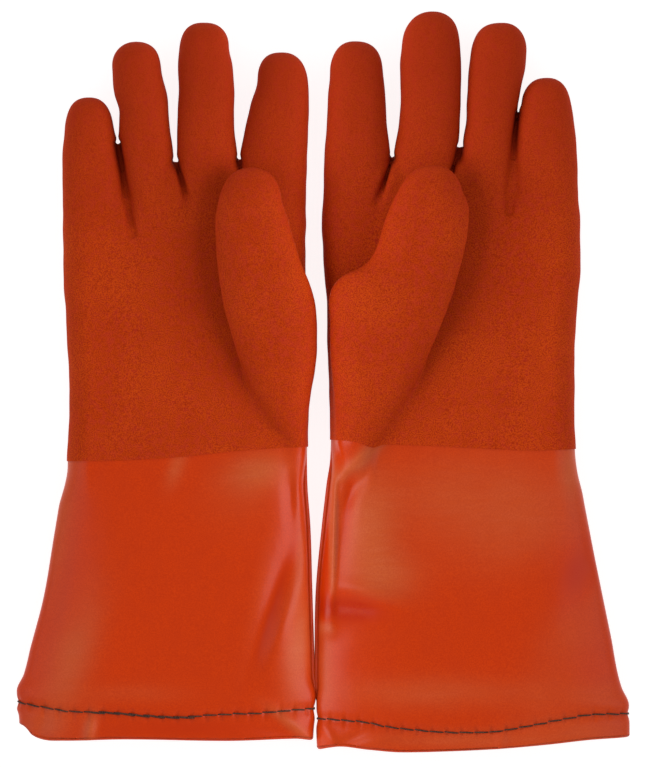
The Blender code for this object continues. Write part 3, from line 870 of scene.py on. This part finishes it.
def unit_normals(ring):
    """Outward normals of a closed ring that runs anticlockwise, seen against +Y."""
    along = np.roll(ring, -1, 0) - np.roll(ring, 1, 0)
    return unit(np.stack([along[:, 2], np.zeros(len(ring)), -along[:, 0]], 1))


def oval(columns, half_wide, half_high, square):
    """Evenly spaced points on a flat superelliptic ring, from its right edge over the top."""
    turn = np.linspace(0, 2 * math.pi, 2401)
    c, s = np.cos(turn), np.sin(turn)
    x = half_wide * np.sign(c) * np.abs(c) ** (2 / square)
    z = half_high * np.sign(s) * np.abs(s) ** (2 / SLEEVE_SQUARE)
    run = np.concatenate([[0], np.cumsum(np.hypot(np.diff(x), np.diff(z)))])
    at = np.arange(columns) / columns * run[-1]
    return np.stack([np.interp(at, run, x), np.interp(at, run, z)], 1)


def joined_rings(rings, around=True):
    """Points and quads of a surface through closed rings. around joins the last to the first."""
    count, columns = len(rings), len(rings[0])
    k = np.arange(columns)
    after = (k + 1) % columns
    faces = []
    for r in range(count if around else count - 1):
        a, b = r * columns, (r + 1) % count * columns
        faces.append(np.stack([a + k, b + k, b + after, a + after], 1))
    return np.concatenate(rings), np.concatenate(faces)


def tube(rings):
    """Points and polygons of a closed tube through rings of points, with flat ends."""
    points, faces = joined_rings(rings, around=False)
    around, last = len(rings[0]), len(points)
    ends = [list(range(around)), list(range(last - 1, last - around - 1, -1))]
    return points, [*faces.tolist(), *ends]


def stitch_places(ring):
    """Lengths along a closed ring up to each of its points, and how many stitches it takes."""
    run = np.concatenate([[0], np.cumsum(np.linalg.norm(np.roll(ring, -1, 0) - ring, axis=1))])
    return run, int(round(run[-1] / STITCH))


def pucker(sleeve, share):
    """How far each point of a ring is drawn in by the stitches: most at their holes."""
    run, count = stitch_places(sleeve.ring(1, 0))
    holes = np.cos(2 * math.pi * run[:-1] / run[-1] * count)
    near = math.exp(-(((share - 1) / (0.02 if share < 1 else 0.22)) ** 2))
    return pinch(share) + PUCKER * near * np.maximum(holes, -0.2) ** 3


def pinch(share):
    """How far the stitching draws the sheet in, at a share of the way down."""
    return DRAWN_IN * math.exp(-(((share - 1) / (0.018 if share < 1 else 0.2)) ** 2))


def add_sleeve(side, sleeve, looks):
    """The PVC sheet from the wrist to the mouth, turned in there as a hem."""
    parts = (-0.018, 0.86, 60), (0.872, 1, 14), (1.07, 1.93, 13)  # closer lower down
    outer = [share for part in parts for share in np.linspace(*part)]
    inner = [s for s in outer if s > 0.975]
    roll = HEM_LAYERS / 2  # the radius that the hem turns in at
    rings = [sleeve.ring(s, pucker(sleeve, s)) for s in outer]
    for angle in np.linspace(0, math.pi, 7):
        inset, beyond = roll - roll * math.cos(angle), roll * math.sin(angle) - roll
        rings.append(sleeve.ring(2, inset, beyond=beyond))
    rings += [sleeve.ring(s, HEM_LAYERS + pinch(s)) for s in inner[::-1]]
    rings += [sleeve.ring(s, HEM_LAYERS - SKIN + pinch(s)) for s in inner]
    rings += [sleeve.ring(s, SKIN + pinch(s)) for s in outer[::-1]]
    made = new_object(f"{side}_sleeve_sheet", *joined_rings(rings), looks["sheet"])
    add_dust_and_painted_light(made, sleeve.glove["bloom"])
    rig.slot(made, "sheet")
    column = 60
    length = float(np.linalg.norm(sleeve.ring(0, 0)[column] - sleeve.ring(2, 0)[column])) + HEM
    declare_sheet(made, rings[len(outer) // 2], length, rings[len(outer) - 1])
    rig.replaces(made, f"{side}_gauntlet_sleeve", f"{side}_hem_fold")
    return made


def add_dust_and_painted_light(made, patches):
    """How dusty each point of a sheet is, with painted light: plain underneath, patches on top that are partly painted
    highlights, and painted shade below 0.
    """
    points = np.empty(len(made.data.vertices) * 3, np.float32)
    made.data.vertices.foreach_get("co", points)
    x, y, z = points.reshape(-1, 3).T / MM
    # Painted highlights and painted shade are laid in with the dust, on the top only
    dust = PLAIN_DUST + smoothstep(10, 18, z) * (swell(patches, x, y) - PLAIN_DUST)
    attribute = made.data.attributes.new("dust", "FLOAT", "POINT")
    attribute.data.foreach_set("value", np.clip(dust, -1, 1))


def declare_sheet(made, middle, length, widest):
    """The sheet's flat size: its width at the mouth by its length, and the area of that taper."""
    wide, mean = (float(stitch_places(ring)[0][-1]) for ring in (widest, middle))
    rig.sheet(made, flat=(wide * MM, length * MM), held="laid", area=mean * length * MM * MM)


def add_sleeve_lining(side, sleeve, looks):
    """The pile lining of the gauntlet, from inside the hand down to the hem."""
    shares = np.linspace(-0.03, 0.93, 26)
    columns, column, last = 150, 20, len(shares) - 1
    under = SKIN + FIT
    rings = [sleeve.ring(s, under, columns) for s in shares]
    rings += [sleeve.ring(s, under + LINING, columns) for s in shares[::-1]]
    made = new_object(f"{side}_sleeve_lining", *joined_rings(rings), looks["pile"])
    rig.slot(made, "pile")
    length = float(np.linalg.norm(rings[0][column] - rings[last][column]))
    declare_sheet(made, rings[len(shares) // 2], length, rings[last])
    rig.replaces(made, f"{side}_gauntlet_liner")
    return made


def add_seam(side, sleeve, looks):
    """The welded lip down the sleeve's thumb side: a flat strip with a rounded outer edge."""
    way = sleeve.glove["thumb_side"]
    end, around = 0.955, 12
    turn = np.arange(around) / around * 2 * math.pi
    rings = []
    for share in np.linspace(-0.012, end, 48):
        ring = sleeve.ring(share, 0.0)
        root = ring[(way * ring[:, 0]).argmax()]
        small = (0.22 + 0.78 * smoothstep(0, 0.16, share)) * (1 - smoothstep(0.9, end, share))
        out = (np.cos(turn) * 0.5 + 0.5) * (SEAM_WIDE + SEAM_ROOT) * small - SEAM_ROOT
        up = np.sin(turn) * SEAM_HIGH / 2 * (1 - 0.25 * (np.cos(turn) + 1) / 2)
        wavy = 0.2 * math.sin(share * 40)
        rings.append(root + np.stack([way * out, np.zeros(around), up + wavy], 1))
    made = new_object(f"{side}_seam_lip", *tube(rings), looks["sheet"])
    add_dust_and_painted_light(made, [])
    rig.slot(made, "sheet")
    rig.replaces(made, f"{side}_side_seam")
    return made


def add_stitches(side, sleeve, looks):
    """Lock stitches around the hem: short threads that dive into the sheet at each hole."""
    line = sleeve.ring(1, pinch(1), columns=1600)
    normals = unit_normals(line)
    run, count = stitch_places(line)
    rng = np.random.default_rng(7)
    spans = [(k, k + 1, 0.0) for k in range(count)]
    low, high = sleeve.glove["backtack"]
    for k in range(count):
        x = np.interp((k + 0.5) / count * run[-1], run[:-1], line[:, 0])
        if low < x < high and k < count / 2:
            spans.append((k + 0.5, k + 1.5, -0.55))
    slices, sides = 9, 6
    turn = -np.arange(sides)[:, None] / sides * 2 * math.pi
    t = 0.5 - 0.5 * np.cos(np.linspace(0, math.pi, slices))
    ends = np.abs(2 * t - 1)[:, None]  # 1 at a stitch's ends, 0 in its middle
    rise = 0.40 - 1.1 * ends**12
    thick = THREAD / 2 * (1 - 0.3 * ends**2)
    points, faces = [], []
    for start, end, shift in spans:
        slant, across = rng.normal(0.28, 0.08), rng.normal(shift, 0.10)
        at = (start + t * (end - start)) / count * run[-1]
        spot, out = (
            np.stack([np.interp(at, run[:-1], along[:, i]) for i in range(3)], 1)
            for along in (line, normals)
        )
        spot += out * rise
        spot[:, 1] += across + slant * (2 * t - 1)
        away = np.cos(turn) * out[:, None] + np.sin(turn) * np.array([0, 1, 0])
        stitch, quads = tube(spot[:, None] + thick[:, None] * away)
        faces += [[len(points) + k for k in face] for face in quads]
        points += stitch.tolist()
    made = new_object(f"{side}_lock_stitches", points, faces, looks["thread"])
    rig.slot(made, "thread")
    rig.replaces(made, f"{side}_hem_thread")
    return made


# -------- materials


class Nodes:
    """Short names for the few nodes that the materials use."""

    def __init__(self, name, roughness, specular):
        self.look = bpy.data.materials.new(name)
        self.look.use_nodes = True
        self.tree = self.look.node_tree
        self.shader = self.tree.nodes["Principled BSDF"]
        self.put(self.shader, {"Roughness": roughness, "Specular IOR Level": specular})
        self.place = self.tree.nodes.new("ShaderNodeTexCoord").outputs["Object"]

    def put(self, node, inputs):
        """The node, with each of these inputs linked to a socket or set to a value."""
        for name, value in inputs.items():
            if isinstance(value, bpy.types.NodeSocket):
                self.tree.links.new(value, node.inputs[name])
            else:
                node.inputs[name].default_value = value
        return node

    def new(self, kind, inputs):
        return self.put(self.tree.nodes.new(kind), inputs)

    def noise(self, size, detail=2.0, stretch=(1, 1, 1), low=0.0, high=1.0):
        """Noise with patches about size millimetres across, with low to high spread over 0 to 1."""
        scale = [1 / (size * MM * s) for s in stretch]
        place = self.new("ShaderNodeMapping", {"Vector": self.place, "Scale": scale}).outputs[0]
        texture = {"Vector": place, "Scale": 1.0, "Detail": detail}
        found = self.new("ShaderNodeTexNoise", texture).outputs["Fac"]
        return self.scaled(found, 0.0, 1.0, low, high, "SMOOTHSTEP")

    def along(self, axis, start, end):
        """0 to 1 from start to end along an axis, in metres."""
        split = self.new("ShaderNodeSeparateXYZ", {0: self.place})
        return self.scaled(split.outputs[axis], 0.0, 1.0, start, end)

    def mixed(self, share, a, b):
        """Colour a where share is 0 and b where it is 1. Either may be a socket."""
        node = self.tree.nodes.new("ShaderNodeMix")
        node.data_type = "RGBA"
        a, b = ((*value, 1) if isinstance(value, tuple) else value for value in (a, b))
        return self.put(node, {"Factor": share, 6: a, 7: b}).outputs[2]

    def attribute(self, name):
        node = self.tree.nodes.new("ShaderNodeAttribute")
        node.attribute_name = name
        return node.outputs["Fac"]

    def scaled(self, value, low, high, start=0.0, end=1.0, kind="LINEAR"):
        """low to high, where value runs from start to end."""
        node = self.tree.nodes.new("ShaderNodeMapRange")
        node.interpolation_type = kind
        self.put(node, {"From Min": start, "From Max": end, "To Min": low, "To Max": high})
        return self.put(node, {"Value": value}).outputs["Result"]

    def product(self, a, b):
        node = self.new("ShaderNodeMath", {0: a, 1: b})
        node.operation = "MULTIPLY"
        return node.outputs[0]

    def bumps(self, *layers):
        """Bump layers: (height socket, strength, depth in millimetres)."""
        before = {}
        for height, strength, depth in layers:
            bump = {"Strength": strength, "Distance": depth * MM, "Height": height, **before}
            before = {"Normal": self.new("ShaderNodeBump", bump).outputs["Normal"]}
        self.put(self.shader, before)

    def link(self, value, name):
        self.put(self.shader, {name: value})


def coat_look():
    """Sandy matte PVC: fine dark and reddish grains in an uneven orange-red, with painted shade that darkens it
    towards the fingertips.
    """
    look = Nodes("coat", 0.8, 0.06)
    grain = look.noise(0.55, 2.0, low=0.34, high=0.62)
    mottle = look.noise(3.2, 3.0, low=0.38, high=0.70)
    cloud = look.noise(34, 2.0, low=0.3, high=0.75)
    base = look.mixed(mottle, (0.455, 0.0395, 0.0010), (0.465, 0.0370, 0.0080))
    base = look.mixed(cloud, base, (0.515, 0.0520, 0.0026))
    # Painted shade: the coat darkens towards the fingertips, as the light falls off there
    base = look.mixed(look.along("Y", 0.07, 0.16), base, (0.370, 0.0285, 0.0030))
    red = look.mixed(mottle, (0.310, 0.0185, 0.0012), (0.345, 0.0195, 0.0065))
    look.link(look.mixed(grain, red, base), "Base Color")
    look.link(look.scaled(mottle, 0.74, 0.86), "Roughness")
    look.bumps((look.noise(0.5, 2.0), 0.30, 0.10), (mottle, 0.18, 0.12))
    return look.look


def sheet_look():
    """Soft-gloss PVC sheet with fine brushed streaks and a pale dusty bloom in broad patches, which is partly a
    painted highlight, and painted shade where the patches are below 0.
    """
    look = Nodes("sheet", 0.4, 0.155)
    streak = look.noise(3.0, 3.0, stretch=(5, 1, 3), low=0.3, high=0.75)
    grain = look.noise(0.7, 2.0, low=0.3, high=0.7)
    mottle = look.noise(7.0, 3.0, low=0.35, high=0.7)
    cloud = look.noise(38, 2.0, low=0.25, high=0.6)
    # Dust and painted light: a pale bloom that is partly a painted highlight, and painted shade below 0
    dust = look.product(look.attribute("dust"), look.scaled(cloud, 0.6, 1.0))
    # Painted shade: a darker sheet where the mark is below 0
    painted_shade = look.scaled(look.attribute("dust"), 0.0, 1.0, -0.05, -1.0)
    base = look.mixed(mottle, (0.555, 0.0390, 0.0003), (0.530, 0.0365, 0.0012))
    base = look.mixed(painted_shade, base, (0.440, 0.0150, 0.0003))
    # Pale dust colour, which also paints the highlights
    pale_dust_and_highlight = look.mixed(streak, (0.525, 0.0830, 0.0170), (0.540, 0.1000, 0.0300))
    dark = look.mixed(dust, (0.480, 0.0285, 0.0005), (0.490, 0.0700, 0.0170))
    look.link(look.mixed(grain, dark, look.mixed(dust, base, pale_dust_and_highlight)), "Base Color")
    look.link(look.scaled(dust, 0.30, 0.44), "Roughness")
    look.bumps((look.noise(24, 2.0), 0.25, 1.6), (streak, 0.10, 0.10), (grain, 0.06, 0.05))
    return look.look


def pile_look():
    """Cream acrylic pile."""
    look = Nodes("pile", 0.95, 0.1)
    tuft = look.noise(1.4, 3.0, low=0.3, high=0.7)
    look.link(look.mixed(tuft, (0.52, 0.46, 0.38), (0.80, 0.76, 0.68)), "Base Color")
    look.bumps((tuft, 0.9, 0.9), (look.noise(0.35, 2.0), 0.5, 0.3))
    return look.look


def thread_look():
    """Near-black brown thread with a twist."""
    look = Nodes("thread", 0.7, 0.25)
    twist = look.noise(0.5, 1.0, stretch=(0.7, 2.0, 1), low=0.35, high=0.65)
    look.link(look.mixed(twist, (0.026, 0.011, 0.007), (0.095, 0.038, 0.022)), "Base Color")
    look.bumps((twist, 0.6, 0.15))
    return look.look


def add_materials():
    """The four looks, each with a plain colour for the viewport."""
    looks = {}
    for name, look, shown in (
        ("coat", coat_look(), (0.41, 0.03, 0.005)),
        ("sheet", sheet_look(), (0.52, 0.035, 0.004)),
        ("pile", pile_look(), (0.8, 0.76, 0.68)),
        ("thread", thread_look(), (0.03, 0.015, 0.015)),
    ):
        look.diffuse_color = (*shown, 1)
        looks[name] = look
    return looks


# -------- camera, light and floor


def add_camera():
    """A camera straight above the gloves, far off and with a long lens."""
    data = bpy.data.cameras.new("camera")
    distance, frame_height, half_glove = 2.5, 0.3938, 0.025
    data.sensor_width = 36
    data.lens = data.sensor_width * (distance - half_glove) / frame_height
    data.clip_end = 20
    camera = placed("camera", data)
    camera.location = (0.0005, -0.0013, distance)
    bpy.context.scene.camera = camera


def add_light(name, location, size, power, lit):
    """A softbox that points at the gloves and lights only one glove's pieces."""
    data = bpy.data.lights.new(name, "AREA")
    data.shape, data.size, data.size_y, data.energy = "RECTANGLE", size[0], size[1], power
    light = placed(name, data)
    light.location = location
    light.rotation_euler = (-Vector(location)).to_track_quat("-Z", "Y").to_euler()
    group = bpy.data.collections.new(name + "_lit")
    for piece in lit:
        group.objects.link(piece)
    light.light_linking.receiver_collection = group


def add_studio(gloves):
    """Soft light from all round, and from each glove's thumb side a softbox of its own."""
    scene = bpy.context.scene
    scene.view_settings.view_transform = "Standard"
    world = bpy.data.worlds.new("world")
    scene.world = world
    world.use_nodes = True
    nodes, links = world.node_tree.nodes, world.node_tree.links
    ramp = nodes.new("ShaderNodeValToRGB")
    split = nodes.new("ShaderNodeSeparateXYZ")
    links.new(nodes.new("ShaderNodeTexCoord").outputs["Generated"], split.inputs[0])
    links.new(split.outputs["Z"], ramp.inputs["Fac"])
    for stop, grey, at in zip(ramp.color_ramp.elements, (0.9, 0.3), (0.3, 0.95)):
        stop.color, stop.position = (grey, grey, grey, 1), at
    links.new(ramp.outputs["Color"], nodes["Background"].inputs["Color"])
    nodes["Background"].inputs["Strength"].default_value = 1.02
    for side, pieces in gloves.items():
        way, size = GLOVES[side]["thumb_side"], (0.9, 1.5)
        add_light(f"{side}_box", (way * 1.25, -0.1, 0.95), size, 19, pieces)
        add_light(f"{side}_fill", (-way * 1.25, -0.1, 1.3), size, 5, pieces)
    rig.stage(add_floor())


def add_floor():
    """A white floor that glows a little, just under the gloves."""
    mesh = bpy.data.meshes.new("floor")
    reach, under = 6.0, 0.0006
    corners = [(-reach, -reach, 0), (reach, -reach, 0), (reach, reach, 0), (-reach, reach, 0)]
    mesh.from_pydata(corners, [], [(0, 1, 2, 3)])
    look = Nodes("floor", 0.9, 0.1)
    look.link((0.4, 0.4, 0.4, 1), "Base Color")
    look.link((1, 1, 1, 1), "Emission Color")
    look.link(0.86, "Emission Strength")
    mesh.materials.append(look.look)
    floor = placed("floor", mesh)
    floor.location.z = -under
    return floor


# -------- the pair


def main():
    """Both gloves, with the camera and the light, and a note of their size."""
    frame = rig.load()
    cad = [list(v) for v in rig.bounds()]
    looks = add_materials()
    gloves = {}
    for side in GLOVES:
        hand = Hand(side, frame["joints"])
        skin = hand_pieces(hand, 0.0, SKIN, SKIN_CELL, 3, looks["coat"], "skin")
        bend_hand(hand, skin, "shell", "coat")
        lining = hand_pieces(hand, SKIN + FIT, LINING, LINING_CELL, 1, looks["pile"], "lining")
        bend_hand(hand, lining, "liner", "pile")
        sleeve = Sleeve(hand)
        steps = (add_sleeve, add_sleeve_lining, add_seam, add_stitches)
        cuff = [add(side, sleeve, looks) for add in steps]
        line = hand.bend_line("wrist", -WRIST_BEND, WRIST_BEND)
        for piece in cuff:
            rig.blend(piece, f"{side}_gauntlet", f"{side}_hand", *line)
        gloves[side] = [*skin.values(), *lining.values(), *cuff]
    add_camera()
    add_studio(gloves)
    made = [list(v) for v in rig.bounds()]
    with open("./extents.json", "w") as out:
        json.dump({"cad": cad, "visual": made}, out)


main()
